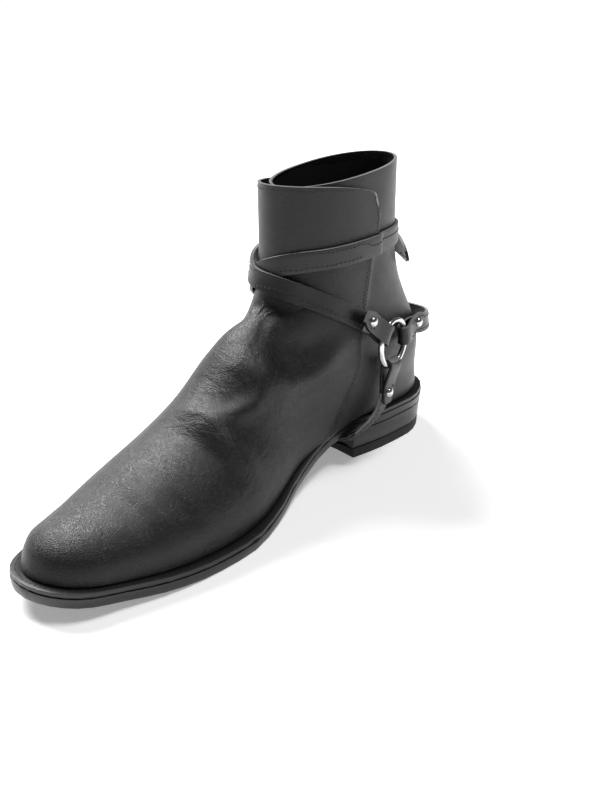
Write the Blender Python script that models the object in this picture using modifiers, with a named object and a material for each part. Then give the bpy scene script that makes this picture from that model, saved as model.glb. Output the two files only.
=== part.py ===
"""Jodhpur boot, right shoe, standing empty on its sole.

The origin is on the floor under the middle of the heel. The toe points to -Y, the medial side to +X.
Places along the boot are measured forward from the back of the sole, and every table holds them as
shares of a named length.
"""

import math
from collections import namedtuple

import bmesh
import bpy
import numpy as np
from mathutils import Matrix, Vector

LENGTH = 0.300
BALL_WIDTH = 0.1035
HEEL_LENGTH = 0.085
HEEL_HEIGHT = 0.018
HEEL_REST = 0.035
TOE_SPRING = 0.0105
ARCH_LAG = 1.35
OUTSOLE_THICKNESS = 0.005
WELT_THICKNESS = 0.0025
INSOLE_THICKNESS = 0.0026
TOP_PIECE_THICKNESS = 0.006
JOINT_GAP = 0.0003

TOE_MARGIN = 0.0042
HEEL_MARGIN = 0.0025
SIDE_MARGIN = 0.0065
WELT_INSET = 0.0005
WALL = 0.0018
VAMP_STEP = 0.0010
SEAM_WIDTH = 0.0008

INSTEP_RISE = 0.084
SHAFT_HEIGHT = 0.173
COLLAR_DROP = 0.008
SHAFT_WIDTH = 0.051
FEATHER_BULGE = 0.002
FEATHER_CURVE = 0.006
ANKLE_BLEND = 0.014

FLAP_THICKNESS = 0.0018
FLAP_GAP = 0.0004
FLAP_DROP = 0.006
FLAP_SIDE_DROP = 0.010
FLAP_CORNER = 0.011
FLAP_FRONT = 0.1245

STRAP_WIDTH = 0.0115
STRAP_THICKNESS = 0.0019
STRAP_CLEARANCE = 0.0004
RING_RADIUS = 0.0138
RING_WIRE = 0.0017
RING_PLACE = 0.0625
RING_HEIGHT = 0.0707
RING_TURN = math.radians(6)
RIVET_RADIUS = 0.0030
RIVET_HEIGHT = 0.0012
TAB_LENGTH = 0.024
BUCKLE_WIRE = 0.0010
BUCKLE_ANGLES = (-115, -134)
FOLD_THICKNESS = 0.0012
KEEPER_ANGLE = 204
TAIL_HANG = 0.006
KEEPER_WIDTH = 0.006
KEEPER_THICKNESS = 0.0012

RINGS_UP = 25
POINTS_FRONT = 14
POINTS_BACK = 12
SOLE_SECTIONS = 38

BALL_FLAT_BACK = 0.655 * LENGTH
BALL_FLAT_FRONT = 0.69 * LENGTH
STRAP_CORE = (0.25 * LENGTH, 0.0)

Outline = namedtuple("Outline", "place half centre")
SOLE_OUTLINE = [
    Outline(0.000, 0.000, 0.000),
    Outline(0.040, 0.473, 0.000),
    Outline(0.120, 0.637, -0.002),
    Outline(0.200, 0.635, -0.014),
    Outline(0.300, 0.605, -0.050),
    Outline(0.380, 0.655, -0.073),
    Outline(0.470, 0.778, -0.076),
    Outline(0.560, 0.925, -0.048),
    Outline(0.650, 1.000, -0.012),
    Outline(0.730, 0.960, 0.006),
    Outline(0.810, 0.845, 0.028),
    Outline(0.890, 0.655, 0.044),
    Outline(0.950, 0.496, 0.060),
    Outline(0.985, 0.300, 0.054),
    Outline(1.000, 0.000, 0.048),
]

Foot = namedtuple("Foot", "place rise lean crown")
FOOT_FORM = [
    Foot(0.000, 0.000, 0.000, 2.00),
    Foot(0.034, 0.190, 0.000, 2.00),
    Foot(0.130, 0.400, 0.000, 2.00),
    Foot(0.266, 0.620, 0.000, 1.80),
    Foot(0.400, 0.893, 0.010, 1.50),
    Foot(0.494, 1.000, 0.020, 1.60),
    Foot(0.545, 0.910, 0.030, 1.55),
    Foot(0.596, 0.770, 0.045, 1.50),
    Foot(0.678, 0.594, 0.055, 1.65),
    Foot(0.770, 0.450, 0.055, 1.80),
    Foot(0.883, 0.290, 0.050, 2.00),
    Foot(0.930, 0.252, 0.050, 2.20),
    Foot(0.966, 0.200, 0.050, 2.50),
    Foot(0.989, 0.125, 0.049, 2.50),
    Foot(1.000, 0.000, 0.048, 2.50),
]

Shaft = namedtuple("Shaft", "height back front half round")
SHAFT_FORM = [
    Shaft(0.20, 0.0095, 0.500, 1.12, 4.00),
    Shaft(0.35, 0.0085, 0.500, 1.20, 3.80),
    Shaft(0.43, 0.0240, 0.497, 1.18, 3.20),
    Shaft(0.52, 0.0530, 0.467, 1.12, 2.80),
    Shaft(0.61, 0.0770, 0.436, 1.06, 2.50),
    Shaft(0.70, 0.0870, 0.419, 1.02, 2.35),
    Shaft(0.81, 0.0890, 0.413, 1.02, 2.30),
    Shaft(0.90, 0.0895, 0.402, 1.01, 2.30),
    Shaft(1.00, 0.0900, 0.386, 1.00, 2.30),
]

Seam = namedtuple("Seam", "height place")
SIDE_SEAM = [
    Seam(0.12, 0.365),
    Seam(0.17, 0.345),
    Seam(0.22, 0.325),
    Seam(0.29, 0.302),
    Seam(0.36, 0.284),
    Seam(0.43, 0.281),
    Seam(0.54, 0.262),
    Seam(0.68, 0.236),
    Seam(0.82, 0.222),
    Seam(1.00, 0.212),
]

Route = namedtuple("Route", "angle height")
CROSS_STRAP_LOW = [
    Route(103, 0.440),
    Route(84, 0.482),
    Route(57, 0.540),
    Route(38, 0.584),
    Route(22, 0.627),
    Route(14, 0.645),
    Route(4, 0.664),
    Route(-10, 0.675),
    Route(-22, 0.693),
    Route(-38, 0.716),
    Route(-60, 0.728),
    Route(-82, 0.733),
    Route(-104, 0.737),
    Route(-130, 0.742),
    Route(-152, 0.745),
    Route(-165, 0.744),
    Route(-178, 0.702),
    Route(-200, 0.600),
]
CROSS_STRAP_HIGH = [
    Route(-103, 0.440),
    Route(-84, 0.482),
    Route(-57, 0.540),
    Route(-38, 0.590),
    Route(-22, 0.642),
    Route(-12, 0.675),
    Route(0, 0.707),
    Route(9, 0.726),
    Route(20, 0.736),
    Route(38, 0.740),
    Route(62, 0.744),
    Route(98, 0.747),
    Route(130, 0.748),
    Route(160, 0.748),
    Route(200, 0.746),
    Route(230, 0.742),
]

Loose = namedtuple("Loose", "place side height")
HEEL_STRAP_HALF = [
    Loose(0.096, 0.640, 0.419),
    Loose(0.066, 0.605, 0.417),
    Loose(0.031, 0.500, 0.404),
    Loose(0.003, 0.330, 0.393),
    Loose(-0.008, 0.150, 0.388),
]
ARCH_STRAP_MEDIAL = [
    Loose(0.222, 0.680, 0.222),
    Loose(0.236, 0.690, 0.185),
    Loose(0.255, 0.675, 0.150),
    Loose(0.284, 0.630, 0.118),
    Loose(0.304, 0.556, 0.092),
    Loose(0.309, 0.420, 0.085),
]
ARCH_STRAP_LATERAL = [
    Loose(0.309, -0.480, 0.085),
    Loose(0.309, -0.710, 0.087),
    Loose(0.306, -0.815, 0.101),
    Loose(0.290, -0.850, 0.128),
    Loose(0.262, -0.800, 0.160),
    Loose(0.236, -0.725, 0.188),
    Loose(0.222, -0.690, 0.222),
]


def clear_scene():
    for obj in list(bpy.data.objects):
        bpy.data.objects.remove(obj, do_unlink=True)


def new_collection(name):
    collection = bpy.data.collections.new(name)
    bpy.context.scene.collection.children.link(collection)
    return collection


def finish(name, hexcode, roughness, metallic=0.0):
    """A Principled material of one colour, given as an sRGB hex value."""
    material = bpy.data.materials.new(name)
    material.use_nodes = True
    shader = material.node_tree.nodes["Principled BSDF"]
    channels = [int(hexcode[i : i + 2], 16) / 255 for i in (0, 2, 4)]
    linear = [c / 12.92 if c <= 0.04045 else ((c + 0.055) / 1.055) ** 2.4 for c in channels]
    shader.inputs["Base Color"].default_value = (*linear, 1.0)
    shader.inputs["Roughness"].default_value = roughness
    shader.inputs["Metallic"].default_value = metallic
    material.diffuse_color = (*linear, 1.0)
    return material


def spot(place, side, height):
    """World point from a distance along the boot, a distance to the medial side and a height."""
    return Vector((side, HEEL_REST - place, height))


def eased(at, places, values):
    """Smooth values through the rows of a table, with no overshoot between them."""
    places = np.asarray(places, float)
    values = np.asarray(values, float)
    at = np.clip(np.asarray(at, float), places[0], places[-1])
    step = np.diff(places)
    rise = np.diff(values) / step
    slope = np.concatenate(([rise[0]], np.zeros(len(values) - 2), [rise[-1]]))
    for i in range(1, len(values) - 1):
        if rise[i - 1] * rise[i] > 0:
            slope[i] = 2 * rise[i - 1] * rise[i] / (rise[i - 1] + rise[i])
    row = np.clip(np.searchsorted(places, at, side="right") - 1, 0, len(step) - 1)
    t = (at - places[row]) / step[row]
    return (
        values[row] * (1 + 2 * t) * (1 - t) ** 2
        + slope[row] * step[row] * t * (1 - t) ** 2
        + values[row + 1] * t * t * (3 - 2 * t)
        + slope[row + 1] * step[row] * t * t * (t - 1)
    )


def smoothstep(t):
    t = np.clip(t, 0, 1)
    return t * t * (3 - 2 * t)


def angle_of(share):
    """Spreads a share of a length so that an outline ends round at both ends."""
    return np.arccos(1 - 2 * np.clip(share, 0, 1))


def along(table, column, share):
    places = angle_of([row.place for row in table])
    return eased(angle_of(share), places, [getattr(row, column) for row in table])


def up_shaft(table, column, height):
    heights = [row.height for row in table]
    return eased(height / SHAFT_HEIGHT, heights, [getattr(row, column) for row in table])


def tread_height(place):
    """Height of the underside of the outsole: flat under the ball, rising to the heel and the toe."""
    toe = np.clip((place - BALL_FLAT_FRONT) / (LENGTH - BALL_FLAT_FRONT), 0, 1)
    arch = (BALL_FLAT_BACK - place) / (BALL_FLAT_BACK - HEEL_LENGTH)
    return TOE_SPRING * toe**2 + HEEL_HEIGHT * smoothstep(arch) ** ARCH_LAG


def welt_height(place):
    return tread_height(place) + OUTSOLE_THICKNESS + JOINT_GAP


def feather_height(place):
    """Height of the upper's lower edge, which sits on the welt."""
    return welt_height(place) + WELT_THICKNESS + JOINT_GAP


def outline_at(place, back_inset, side_inset, toe_inset):
    """Half width and centre of the sole's outline, drawn in by an inset at the back, sides and toe."""
    share = (place - back_inset) / (LENGTH - toe_inset - back_inset)
    half = along(SOLE_OUTLINE, "half", share) * (BALL_WIDTH / 2 - side_inset)
    centre = along(SOLE_OUTLINE, "centre", share) * BALL_WIDTH
    return half, centre


def foot_form(place, height):
    """Signed square of the half width of the foot's form, and the middle of that width."""
    share = (place - HEEL_MARGIN) / (LENGTH - TOE_MARGIN - HEEL_MARGIN)
    rise = np.maximum(INSTEP_RISE * along(FOOT_FORM, "rise", share), 1e-4)
    above = np.maximum(height - feather_height(place), 0)
    part = above / rise
    half, centre = outline_at(place, HEEL_MARGIN, SIDE_MARGIN, TOE_MARGIN)
    bulge = FEATHER_BULGE * (1 - np.exp(-above / FEATHER_CURVE)) * np.minimum(half / (0.2 * BALL_WIDTH), 1)
    square = (half + bulge) ** 2 * (1 - part ** along(FOOT_FORM, "crown", share))
    lean = BALL_WIDTH * along(FOOT_FORM, "lean", share)
    part = np.clip(part, 0, 1)
    beyond = (share < 0) | (share > 1)
    return np.where(beyond, -1e-4, square), centre * (1 - part) + lean * part


def shaft_form(place, height, front=None):
    """Signed square of the half width of the shaft and heel, cut level."""
    back = up_shaft(SHAFT_FORM, "back", height) * LENGTH
    if front is None:
        front = up_shaft(SHAFT_FORM, "front", height) * LENGTH
    half = up_shaft(SHAFT_FORM, "half", height) * SHAFT_WIDTH / 2
    reach = np.abs(place - (front + back) / 2) / ((front - back) / 2)
    return half**2 * (1 - reach ** up_shaft(SHAFT_FORM, "round", height))


def boot_form(place, height):
    """Signed square of the upper's half width and its middle: foot and shaft, blended at the ankle."""
    foot, foot_centre = foot_form(place, height)
    shaft = shaft_form(place, height)
    reach = ANKLE_BLEND**2 * smoothstep((place / LENGTH - 0.20) / 0.13) + 1e-8
    near = np.clip(1 - np.abs(foot - shaft) / reach, 0, 1)
    square = np.maximum(foot, shaft) + reach * near**2 / 4
    share = smoothstep(0.5 + (foot - shaft) / (2 * (BALL_WIDTH / 4) ** 2))
    return square, foot_centre * share


def silhouette(height, forward):
    """Where the form ends at each height, seen from the side."""
    inside = np.full_like(height, 0.3 * LENGTH)
    outside = np.full_like(height, LENGTH if forward else 0.0)
    for _ in range(40):
        middle = (inside + outside) / 2
        held = boot_form(middle, height)[0] > 0
        inside = np.where(held, middle, inside)
        outside = np.where(held, outside, middle)
    return inside


def even_points(points, count):
    """The same polyline with count points, evenly spaced."""
    run = np.concatenate(([0], np.cumsum(np.linalg.norm(np.diff(points, axis=0), axis=1))))
    at = np.linspace(0, run[-1], count)
    return np.stack([np.interp(at, run, points[:, i]) for i in range(points.shape[1])], axis=1)


def side_profile(count, forward, low, high):
    height = np.linspace(low, high, 400)
    points = np.stack([silhouette(height, forward), height], axis=1)
    return even_points(points, count)


def seam_place(height):
    return up_shaft(SIDE_SEAM, "place", height) * LENGTH


def ring_side(fore, aft, level, side):
    """One side of a ring round the upper, from its front to its back, with a column on each edge of the seam."""
    turn = np.linspace(0, math.pi, 400)
    place = aft[0] + (fore[0] - aft[0]) * (1 + np.cos(turn)) / 2
    share = (place - aft[0]) / (fore[0] - aft[0])
    ends = feather_height(np.array([aft[0], fore[0]]))
    sag = feather_height(place) - ends[0] - (ends[1] - ends[0]) * share
    height = aft[1] + (fore[1] - aft[1]) * share + sag * (1 - smoothstep(2.2 * level))
    square, centre = boot_form(place, height)
    half = np.sqrt(np.maximum(square, 0))
    points = np.stack([place, centre + side * half, height], axis=1)
    front = place > seam_place(height)
    edge = int(np.argmin(front))
    seam = (points[edge - 1] + points[edge]) / 2
    ahead = points[:edge][points[:edge, 0] > seam[0] + SEAM_WIDTH / 2]
    behind = points[edge:][points[edge:, 0] < seam[0] - SEAM_WIDTH / 2]
    return even_points(ahead, POINTS_FRONT), even_points(behind, POINTS_BACK)


def upper_rings():
    """Rings round the upper from its lower edge to the collar: front, medial side, back, lateral side."""
    toe = LENGTH - TOE_MARGIN
    fore = side_profile(RINGS_UP, True, float(feather_height(toe)) + 2e-5, SHAFT_HEIGHT - COLLAR_DROP)
    aft = side_profile(RINGS_UP, False, float(feather_height(HEEL_MARGIN)) + 2e-5, SHAFT_HEIGHT)
    rings = []
    proud = []
    for j in range(RINGS_UP):
        level = j / (RINGS_UP - 1)
        medial_front, medial_back = ring_side(fore[j], aft[j], level, 1)
        lateral_front, lateral_back = ring_side(fore[j], aft[j], level, -1)
        ring = [*medial_front, *medial_back[:-1], *lateral_back[::-1], *lateral_front[:0:-1]]
        ring[0] = np.array([fore[j][0], (medial_front[0][1] + lateral_front[0][1]) / 2, fore[j][1]])
        middle = POINTS_FRONT + POINTS_BACK - 1
        ring[middle] = np.array([aft[j][0], (medial_back[-1][1] + lateral_back[-1][1]) / 2, aft[j][1]])
        rings.append(ring)
        count = len(ring)
        proud.append([i < POINTS_FRONT or i > count - POINTS_FRONT for i in range(count)])
    return np.array(rings), np.array(proud)


def flap_line(angle):
    """Height of the joint between vamp and flap, which the higher of the two straps covers."""
    return np.maximum(route_height(CROSS_STRAP_HIGH, angle), route_height(CROSS_STRAP_LOW, angle))


def route_height(route, angle):
    rows = sorted(route)
    return eased(angle, [row.angle for row in rows], [row.height for row in rows]) * SHAFT_HEIGHT


def grid_normals(points):
    """Outward normals of a grid of rings, each ring closed."""
    around = np.roll(points, -1, axis=1) - np.roll(points, 1, axis=1)
    up = np.gradient(points, axis=0)
    normal = np.cross(around, up)
    return normal / np.linalg.norm(normal, axis=2, keepdims=True)


def world_of(points):
    """World points from rows of place, side and height."""
    return np.stack([points[..., 1], HEEL_REST - points[..., 0], points[..., 2]], axis=-1)


def mesh_object(name, points, faces, material, collection, closed=True):
    mesh = bpy.data.meshes.new(name)
    mesh.from_pydata([tuple(float(v) for v in p) for p in points], [], faces)
    if closed:
        shape = bmesh.new()
        shape.from_mesh(mesh)
        bmesh.ops.recalc_face_normals(shape, faces=shape.faces)
        shape.to_mesh(mesh)
        shape.free()
    mesh.shade_smooth()
    mesh.set_sharp_from_angle(angle=math.radians(40))
    mesh.materials.append(material)
    obj = bpy.data.objects.new(name, mesh)
    collection.objects.link(obj)
    return obj


def loft(name, sections, material, collection, ends="caps"):
    """A closed solid through sections of equal point counts. Its ends are capped, or joined to each other."""
    count = len(sections[0])
    points = [point for section in sections for point in section]
    faces = []
    spans = len(sections) if ends == "joined" else len(sections) - 1
    for j in range(spans):
        a = j * count
        b = (j + 1) % len(sections) * count
        for i in range(count):
            k = (i + 1) % count
            faces.append((a + i, a + k, b + k, b + i))
    if ends == "caps":
        faces.append(tuple(range(count)))
        faces.append(tuple(range(len(points) - count, len(points))))
    return mesh_object(name, points, faces, material, collection)


def build_upper(collection, material):
    rings, proud = upper_rings()
    points = world_of(rings)
    normal = grid_normals(points)
    normal[..., 2] = np.maximum(normal[..., 2], 0)
    normal /= np.linalg.norm(normal, axis=2, keepdims=True)
    angle = np.degrees(np.arctan2(rings[..., 1], rings[..., 0] - STRAP_CORE[0]))
    below = smoothstep((flap_line(angle) - rings[..., 2]) / (0.4 * STRAP_WIDTH) - 0.6)
    step = VAMP_STEP * proud * below
    points = points + normal * step[..., None]
    ring_count, count = points.shape[:2]
    faces = []
    for j in range(ring_count - 1):
        for i in range(count):
            k = (i + 1) % count
            faces.append((j * count + i, j * count + k, (j + 1) * count + k, (j + 1) * count + i))
    upper = mesh_object("upper", points.reshape(-1, 3), faces, material, collection, closed=False)
    wall = upper.modifiers.new("wall", "SOLIDIFY")
    wall.thickness = WALL
    wall.offset = -1
    wall.use_even_offset = True
    wall.use_quality_normals = True
    return upper


def slab_sections(start, end, insets, low, high, columns, hollow=0.0, taper=0.0):
    """Cross sections of a layer of the sole from its back to its front, with a chamfer along the lower edge."""
    sections = []
    turn = np.linspace(0, math.pi, SOLE_SECTIONS)
    reach = LENGTH - insets[2] - insets[0]
    whole = insets[0] + reach * (1 - np.cos(turn)) / 2
    first = max(start, insets[0] + 2e-4)
    last = min(end, LENGTH - insets[2] - 2e-4)
    inside = whole[(whole > first + 1e-4) & (whole < last - 1e-4)]
    places = np.concatenate(([first], inside, [last]))
    across = np.linspace(1, -1, columns)
    for place in places:
        half, centre = outline_at(place, *insets)
        curve = hollow * ((place - start) / (end - start)) ** 4 * (1 - across**2)
        at = place - curve
        lower = half - np.minimum(taper, 0.5 * half)
        bottom = [spot(p, centre + a * lower, low(p)) for p, a in zip(at, across)]
        top = [spot(p, centre + a * half, high(p)) for p, a in zip(at[::-1], across[::-1])]
        sections.append(bottom + top)
    return sections


def build_sole(collection, leather, rubber):
    flush = (0.0, 0.0, 0.0)
    loft(
        "outsole",
        slab_sections(
            0,
            LENGTH,
            flush,
            tread_height,
            lambda p: tread_height(p) + OUTSOLE_THICKNESS,
            4,
            taper=0.0006,
        ),
        leather,
        collection,
    )
    heel_inset = (0.0006, 0.0006, 0.0006)
    loft(
        "heel_stack",
        slab_sections(
            0,
            HEEL_LENGTH,
            heel_inset,
            lambda p: TOP_PIECE_THICKNESS + JOINT_GAP + 0 * p,
            lambda p: tread_height(p) - JOINT_GAP,
            5,
            hollow=0.003,
            taper=0.0012,
        ),
        leather,
        collection,
    )
    rest_inset = (0.0022, 0.0020, 0.0022)
    loft(
        "heel_top_piece",
        slab_sections(
            0,
            HEEL_LENGTH,
            rest_inset,
            lambda p: 0 * p,
            lambda p: TOP_PIECE_THICKNESS + 0 * p,
            5,
            hollow=0.003,
        ),
        rubber,
        collection,
    )


def ring_band(outer, inner, low, high, count):
    """Sections of a flat ring that follows the sole's outline, between two insets."""
    sections = []
    for i in range(count):
        turn = 2 * math.pi * i / count
        corner = []
        for insets in (outer, inner):
            reach = LENGTH - insets[0] - insets[2]
            place = insets[0] + reach * (1 - math.cos(turn)) / 2
            half, centre = outline_at(place, *insets)
            side = centre + math.copysign(1, math.sin(turn)) * half
            corner.append((place, side))
        (p0, d0), (p1, d1) = corner
        outside = [spot(p0, d0, low(p0)), spot(p0, d0, high(p0))]
        inside = [spot(p1, d1, high(p1)), spot(p1, d1, low(p1))]
        sections.append(outside + inside)
    return sections


def build_welt(collection, material):
    outer = (WELT_INSET, WELT_INSET, WELT_INSET)
    seat = WALL + 0.0012
    inner = (HEEL_MARGIN + seat, SIDE_MARGIN + seat, TOE_MARGIN + seat)
    sections = ring_band(outer, inner, welt_height, lambda p: welt_height(p) + WELT_THICKNESS, 72)
    return loft("welt", sections, material, collection, ends="joined")


def build_insole(collection, material):
    seat = WALL + 0.0040
    insets = (HEEL_MARGIN + seat, SIDE_MARGIN + seat, TOE_MARGIN + seat)
    sections = slab_sections(0, LENGTH, insets, welt_height, lambda p: welt_height(p) + INSOLE_THICKNESS, 3)
    return loft("insole", sections, material, collection)


def radial(angle, height, form=boot_form):
    """World points of a form's skin at angles round the shaft: 0 in front, positive to the medial side."""
    turn = np.radians(angle)
    low = np.zeros_like(turn)
    high = np.full_like(turn, 0.4 * LENGTH)
    for _ in range(26):
        middle = (low + high) / 2
        side = STRAP_CORE[1] + middle * np.sin(turn)
        square, centre = form(STRAP_CORE[0] + middle * np.cos(turn), height)
        inside = square > (side - centre) ** 2
        low = np.where(inside, middle, low)
        high = np.where(inside, high, middle)
    points = [STRAP_CORE[0] + low * np.cos(turn), STRAP_CORE[1] + low * np.sin(turn), height]
    return world_of(np.stack(points, axis=-1))


def skin(angle, height, form=boot_form):
    """World points on a form's skin, and the outward normals there."""
    angle = np.atleast_1d(np.asarray(angle, float))
    height = np.broadcast_to(np.asarray(height, float), angle.shape)
    turn_step, height_step = 3.0, 0.003
    around = radial(angle + turn_step, height, form) - radial(angle - turn_step, height, form)
    up = radial(angle, height + height_step, form) - radial(angle, height - height_step, form)
    return radial(angle, height, form), unit(np.cross(around, up))


def unit(vectors):
    return vectors / np.linalg.norm(vectors, axis=-1, keepdims=True)


def flap_form(place, height):
    """The upper's form, with the front of the shaft carried straight up for the flap that leans off it."""
    square, centre = boot_form(place, height)
    front = np.maximum(up_shaft(SHAFT_FORM, "front", height) * LENGTH, FLAP_FRONT)
    return np.maximum(square, shaft_form(place, height, front)), centre


def seam_angle(height):
    place = seam_place(height)
    square, centre = boot_form(place, height)
    return np.degrees(np.arctan2(np.sqrt(square), place - STRAP_CORE[0]))


def build_flap(collection, material):
    """The free top of the front panel, which wraps the shaft and stands above the collar in front."""
    columns, rows = 27, 7
    half_arc = 0.6 * (SHAFT_WIDTH + 0.2 * LENGTH)
    across = np.linspace(-1, 1, columns)
    across = np.sign(across) * np.abs(across) ** 1.25
    inset = np.maximum(FLAP_CORNER - (1 - np.abs(across)) * half_arc, 0)
    corner = FLAP_CORNER - np.sqrt(FLAP_CORNER**2 - inset**2)
    top = SHAFT_HEIGHT - FLAP_DROP - FLAP_SIDE_DROP * np.abs(across) ** 1.5 - corner
    low = flap_line(across * seam_angle(top)) + 0.23 * STRAP_WIDTH
    share = np.linspace(0, 1, rows)
    height = low[:, None] + (top - low)[:, None] * share
    angle = across[:, None] * (seam_angle(height) - 1)
    point, out = skin(angle.ravel(), height.ravel(), flap_form)
    point = point.reshape(columns, rows, 3)
    out = out.reshape(columns, rows, 3)
    inner = point + out * FLAP_GAP
    outer = point + out * (FLAP_GAP + FLAP_THICKNESS)
    sections = [[*inner[i], *outer[i][::-1]] for i in range(columns)]
    return loft("front_flap", sections, material, collection)


def base_rise(angle):
    """How far a strap's underside stands off the form: over the flap and vamp in front, closer behind."""
    over_flap = FLAP_GAP + FLAP_THICKNESS + STRAP_CLEARANCE
    return over_flap + (STRAP_CLEARANCE - over_flap) * smoothstep((np.abs(angle) - 106) / 6)


def crossing_rise(angle):
    """Extra height of the strap that lies on top, where the two straps cross in front."""
    return (STRAP_THICKNESS + STRAP_CLEARANCE) * (1 - smoothstep((np.abs(angle + 8) - 21) / 12))


def buckle_rise(angle):
    """Extra height of the strap's free end, which passes over the buckle's bar and hangs off the shaft."""
    fold = 2 * (FOLD_THICKNESS + BUCKLE_WIRE) + 3 * JOINT_GAP + FOLD_THICKNESS / 2
    over_strap = STRAP_THICKNESS + STRAP_CLEARANCE
    angles = [-200, -178, -166, -152, -144, -131, -118, -112]
    rises = [TAIL_HANG, TAIL_HANG, over_strap, over_strap, fold, fold, 0, 0]
    return np.interp(angle, angles, rises)


def route_sections(route, angles, rise, heading, widths=None):
    """A strap's cross sections at angles round the shaft: each its underside edge to edge, then its face."""
    angles = np.asarray(angles, float)
    widths = np.ones_like(angles) if widths is None else np.asarray(widths)
    centre, normal = skin(angles, route_height(route, angles))
    before = radial(angles - 3, route_height(route, angles - 3))
    after = radial(angles + 3, route_height(route, angles + 3))
    across = unit(np.cross(normal, unit(after - before) * heading))
    steps = np.array([-0.5, 0, 0.5])
    goal = centre[:, None] + across[:, None] * (STRAP_WIDTH * widths[:, None] * steps)[..., None]
    goal = goal.reshape(-1, 3)
    turn = np.degrees(np.arctan2(goal[:, 0] - STRAP_CORE[1], HEEL_REST - goal[:, 1] - STRAP_CORE[0]))
    point, out = skin(turn, goal[:, 2])
    rise = np.repeat(rise, 3)[:, None]
    under = (point + out * rise).reshape(-1, 3, 3)
    face = (point + out * (rise + STRAP_THICKNESS)).reshape(-1, 3, 3)
    return [[*map(Vector, a), *map(Vector, b[::-1])] for a, b in zip(under, face)]


def flipped(section):
    """The same cross section, for a strap that runs the other way."""
    half = len(section) // 2
    return section[:half][::-1] + section[half:][::-1]


def free_sections(table, core, axis):
    """Cross sections of a strap that hangs free, through a table's points, facing away from an axis."""
    centres = [spot(row.place * LENGTH, row.side * SHAFT_WIDTH, row.height * SHAFT_HEIGHT) for row in table]
    sections = []
    for i, centre in enumerate(centres):
        run = (centres[min(i + 1, len(centres) - 1)] - centres[max(i - 1, 0)]).normalized()
        away = centre - core
        away[axis] = 0
        normal = (away - run * away.dot(run)).normalized()
        across = normal.cross(run).normalized()
        edge = [centre + across * STRAP_WIDTH * step for step in (-0.5, 0, 0.5)]
        under = [point - normal * STRAP_THICKNESS / 2 for point in edge]
        face = [point + normal * STRAP_THICKNESS / 2 for point in edge]
        sections.append(under + face[::-1])
    return sections


def fold_sections(wire, out, facing, across, path, thickness, bend):
    """Sections of a strap end that turns round a wire.

    The path holds the way past the wire, the way off the foot and the share of the wire's bend followed.
    """
    result = []
    for i, (inward, off, follow) in enumerate(path):
        ahead = path[min(i + 1, len(path) - 1)]
        back = path[max(i - 1, 0)]
        run = (-out * (ahead[0] - back[0]) + facing * (ahead[1] - back[1])).normalized()
        normal = run.cross(across).normalized()
        centre = wire - out * inward + facing * off
        width = STRAP_WIDTH * (0.6 if i == 0 else 1.0)
        section = []
        for level, order in ((-0.5, (-0.5, 0, 0.5)), (0.5, (0.5, 0, -0.5))):
            for step in order:
                sweep = follow * (bend - math.sqrt(bend**2 - (step * width) ** 2)) if bend else 0
                section.append(centre + across * step * width + normal * level * thickness - out * sweep)
        result.append(section)
    return result


class Ring:
    """A ring on one side of the ankle, and how a strap's end folds round its wire."""

    def __init__(self, side):
        square, centre = boot_form(np.array(RING_PLACE), np.array(RING_HEIGHT))
        stand = 2 * STRAP_CLEARANCE + 2 * STRAP_THICKNESS + RING_WIRE
        self.centre = spot(RING_PLACE, float(centre) + side * (math.sqrt(float(square)) + stand), RING_HEIGHT)
        self.normal = Vector((side * math.cos(RING_TURN), math.sin(RING_TURN), 0))
        self.forward = Vector((side * math.sin(RING_TURN), -math.cos(RING_TURN), 0))
        self.turn_radius = RING_WIRE + STRAP_CLEARANCE + STRAP_THICKNESS / 2

    def outward(self, angle):
        """Direction from the ring's centre, at an angle from the front towards the top."""
        turn = math.radians(angle)
        return self.forward * math.cos(turn) + Vector((0, 0, math.sin(turn)))

    def fold(self, angle):
        """Sections from a strap's cut end on the outside, round the wire, to the strap under it."""
        out = self.outward(angle)
        radius = self.turn_radius
        over = STRAP_THICKNESS + STRAP_CLEARANCE - radius
        path = [(-TAB_LENGTH, over, 0), (-0.8 * TAB_LENGTH, over, 0), (-0.5 * TAB_LENGTH, over, 0.2)]
        path.append((-0.9 * radius, 0.8 * radius, 0.8))
        for i in range(6):
            bend = math.pi / 2 - math.pi * i / 5
            path.append((radius * math.cos(bend), radius * math.sin(bend), 1))
        path.append((-0.25 * TAB_LENGTH, -radius, 0.5))
        path.append((-0.5 * TAB_LENGTH, -radius, 0))
        across = self.normal.cross(out).normalized()
        wire = self.centre + out * RING_RADIUS
        return fold_sections(wire, out, self.normal, across, path, STRAP_THICKNESS, RING_RADIUS)

    def rivet_seat(self, angle):
        out = self.outward(angle)
        face = 1.5 * STRAP_THICKNESS + STRAP_CLEARANCE - self.turn_radius + JOINT_GAP
        return self.centre + out * (RING_RADIUS + 0.7 * TAB_LENGTH) + self.normal * face


FRONT_FOLD, HEEL_FOLD, ARCH_FOLD = 40, 172, -84


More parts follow.
